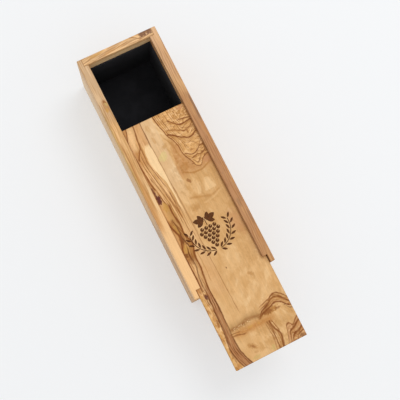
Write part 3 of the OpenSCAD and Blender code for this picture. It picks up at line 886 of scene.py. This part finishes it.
def brad_steel():
    """Drawn steel wire, with a fine grain and a few dull spots."""
    s = Shader("brad_steel", STEEL)
    grain = s.noise(s.x / 0.25, s.y / 0.25, s.z / 0.25, detail=3)
    dull = s.noise(s.x / 2, s.y / 2, s.z / 2 + 5, detail=2)
    s.lay(s.step(dull, 0.45, 0.7) * 0.5, SMOKE)
    return s.finish(0.28 + grain * 0.2, grain * 0.01, Metallic=1.0)


def wood_filler():
    """Sanded filler in the brad holes, a shade off the wood and a little gritty."""
    s = Shader("wood_filler", PUTTY_GRIT)
    grit = s.noise(s.x / 0.5, s.y / 0.5, s.z / 0.5, detail=3)
    s.lay(s.step(grit, 0.42, 0.62), PUTTY)
    return s.finish(0.7 + grit * 0.1, grit * 0.04)


# ---------- Felt linings ----------

FELT_CELL = 6 * MM
FELT_ROUND = 0.9 * MM
FELT_WAVE = 0.25 * MM
FELT_WAVE_LENGTH = 28 * MM


def felt_lines(low, high):
    """Where the lines of a felt panel's grid lie: close together over its rounded edges, then even."""
    rim = [FELT_ROUND * share for share in (0, 0.15, 0.5, 1)]
    start, end = low + FELT_ROUND, high - FELT_ROUND
    count = round((end - start) / FELT_CELL)
    inner = [start + (end - start) * i / count for i in range(1, count)]
    return [low + r for r in rim] + inner + [high - r for r in reversed(rim)]


def felt_height(place, edge, thickness):
    """How far the felt stands off the board: full in its middle, rounded at its edges, a little uneven."""
    inside = max(0.0, 1 - edge / FELT_ROUND)
    rounding = FELT_ROUND * (1 - math.sqrt(1 - inside * inside))
    wave = FELT_WAVE * (0.5 + 0.5 * noise.noise(place / FELT_WAVE_LENGTH))
    return thickness - rounding - wave


def felt_faces(rows, columns):
    """The faces of a panel: its back and its front, each a grid of points, and the strip all round them."""
    layer = rows * columns
    cells = [
        (i * columns + j, (i + 1) * columns + j, (i + 1) * columns + j + 1, i * columns + j + 1)
        for i in range(rows - 1) for j in range(columns - 1)
    ]
    rim = list(range(columns))
    rim += [i * columns + columns - 1 for i in range(1, rows)]
    rim += [layer - columns + j for j in range(columns - 2, -1, -1)]
    rim += [i * columns for i in range(rows - 2, 0, -1)]
    faces = [tuple(reversed(cell)) for cell in cells]
    faces += [tuple(corner + layer for corner in cell) for cell in cells]
    return faces + [(a, a + layer, b + layer, b) for a, b in zip(rim, rim[1:] + rim[:1])]


def felt_panel(node, board, material):
    """The felt glued to a board, in the place of its plain CAD node."""
    low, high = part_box(node)
    size = high - low
    thin = min(range(3), key=lambda axis: size[axis])
    u, v = [axis for axis in range(3) if axis != thin]
    # The felt's back is its side away from the middle of the box, and out points from there into the box
    back, out = (low[thin], 1) if (low + high)[thin] < (cad_low + cad_high)[thin] else (high[thin], -1)
    us, vs = felt_lines(low[u], high[u]), felt_lines(low[v], high[v])
    vertices = []
    for front in (False, True):
        for a in us:
            for b in vs:
                place = Vector((0, 0, 0))
                place[u], place[v], place[thin] = a, b, back
                edge = min(a - low[u], high[u] - a, b - low[v], high[v] - b)
                if front:
                    place[thin] += out * felt_height(place, edge, size[thin])
                vertices.append(place)
    mesh = bpy.data.meshes.new(board + "_felt")
    mesh.from_pydata(vertices, [], felt_faces(len(us), len(vs)))
    # As felt_faces winds them, the faces point outwards where u, v and out make a right-handed set of axes
    turned = (u + 1) % 3 != v
    if turned == (out > 0):
        mesh.flip_normals()
    mesh.shade_smooth()
    mesh.materials.append(material)
    panel = add(mesh.name, mesh)
    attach(panel, "box")
    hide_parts(node)


# ---------- Stage, in metres and degrees ----------

CAMERA_PLACE = (-0.119955, -0.191040, 1.130653)
CAMERA_TURN = (9.450, -3.046, -26.762)
CAMERA_LENS = 72.43
FLOOR_SIZE = 60.0
FLOOR_GAP = 0.0002
FLOOR_GLOW = 0.45
SKY_SHARE = 0.8
LAMP_SIZE = 1.3
LAMP_DISTANCE = 2.4
LAMP_DIRECTION = Vector((0.42, 0.24, 0.87)).normalized()


def put_camera():
    lens = bpy.data.cameras.new("camera")
    lens.lens = CAMERA_LENS
    camera = add("camera", lens)
    camera.location = CAMERA_PLACE
    camera.rotation_euler = [math.radians(turn) for turn in CAMERA_TURN]
    bpy.context.scene.camera = camera


def put_lamp():
    """One wide soft lamp, with the power that gives what the sky leaves of a plain level of light."""
    lamp = bpy.data.lights.new("softbox", "AREA")
    lamp.shape = "DISK"
    lamp.size = LAMP_SIZE
    lamp.energy = math.pi ** 2 * (1 - SKY_SHARE) * LAMP_DISTANCE ** 2 / LAMP_DIRECTION.z
    box = add("softbox", lamp)
    box.location = LAMP_DIRECTION * LAMP_DISTANCE
    box.rotation_euler = LAMP_DIRECTION.to_track_quat("Z", "Y").to_euler()


def show(nodes, output, light, seen, share):
    """Sends a light shader to an output. A ray that looks at it, from the camera or by way of metal or
    glass, sees the seen shader in its place, by a share."""
    path = nodes.node("ShaderNodeLightPath")
    camera, glossy, through = [
        Field(nodes, path.outputs[ray]) for ray in ("Is Camera Ray", "Is Glossy Ray", "Is Transmission Ray")
    ]
    looking = nodes.most(nodes.most(camera, glossy), through)
    shaders = [Field(nodes, shader.outputs[0]) for shader in (light, seen)]
    choose = nodes.node("ShaderNodeMixShader", looking * share, *shaders)
    nodes.put(Field(nodes, choose.outputs[0]), nodes.tree.nodes[output].inputs["Surface"])


def put_sky():
    """Even light from all round. Where it is looked at past the floor, it has the tone of the far floor."""
    world = bpy.data.worlds.new("sky")
    world.use_nodes = True
    bpy.context.scene.world = world
    nodes = Nodes(world.node_tree)
    light = nodes.tree.nodes["Background"]
    light.inputs["Color"].default_value = (1, 1, 1, 1)
    light.inputs["Strength"].default_value = SKY_SHARE
    seen = nodes.node("ShaderNodeBackground")
    seen.inputs["Color"].default_value = HORIZON
    show(nodes, "World Output", light, seen, 1.0)


def put_floor():
    """A plain pale floor just under the box. Where it is looked at, part of it shines by its own light,
    which softens the shadow there without lighting the box."""
    half = FLOOR_SIZE / 2
    corners = [(-half, -half), (half, -half), (half, half), (-half, half)]
    mesh = bpy.data.meshes.new("floor")
    mesh.from_pydata([(x, y, -FLOOR_GAP) for x, y in corners], [], [(0, 1, 2, 3)])
    material = bpy.data.materials.new("floor")
    material.use_nodes = True
    nodes = Nodes(material.node_tree)
    surface = nodes.tree.nodes["Principled BSDF"]
    surface.inputs["Base Color"].default_value = FLOOR
    surface.inputs["Roughness"].default_value = 0.9
    surface.inputs["Specular IOR Level"].default_value = 0.1
    glow = nodes.node("ShaderNodeEmission")
    glow.inputs["Color"].default_value = WHITE
    show(nodes, "Material Output", surface, glow, FLOOR_GLOW)
    mesh.materials.append(material)
    add("floor", mesh)


# ---------- The box ----------

def give(material, *nodes):
    """Puts a material on CAD nodes."""
    for node in nodes:
        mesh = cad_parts[node].data
        mesh.materials.clear()
        mesh.materials.append(material)


# Each board's material and node, and what olive_board takes after them
boards = (
    ("left_olive", "left_side", "y", 11, (-25, -20), calm_top, [(-72, 38, 7)], left_rail),
    ("right_olive", "right_side", "y", 37, (-20, 22), calm_top, [(86, 52, 8)], right_rail),
    ("rear_olive", "rear_end", "x", 53, (150, 190), lambda s: 0.6, [], rear_rail),
    ("front_olive", "front_end", "x", 67, (-10, -140), lambda s: 0.65, [(22, 40, 5)]),
    ("base_olive", "base_panel", "flat", 79, (10, -30), lambda s: 0.65, [(60, 12, 6)]),
)
for name, node, *wood in boards:
    give(olive_board(name, node, *wood), node)
give(lid_wood("sliding_lid"), "sliding_lid")
felt = black_felt()
for node, board in (
    ("floor_lining", "base_panel"),
    ("left_lining", "left_side"),
    ("right_lining", "right_side"),
    ("rear_lining", "rear_end"),
    ("front_lining", "front_end"),
):
    felt_panel(node, board, felt)
give(brad_steel(), *[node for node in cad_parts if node.endswith("_brads")])
give(wood_filler(), *[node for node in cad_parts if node.endswith("_filler")])

put_camera()
put_lamp()
put_sky()
put_floor()
bpy.context.scene.view_settings.view_transform = "Standard"
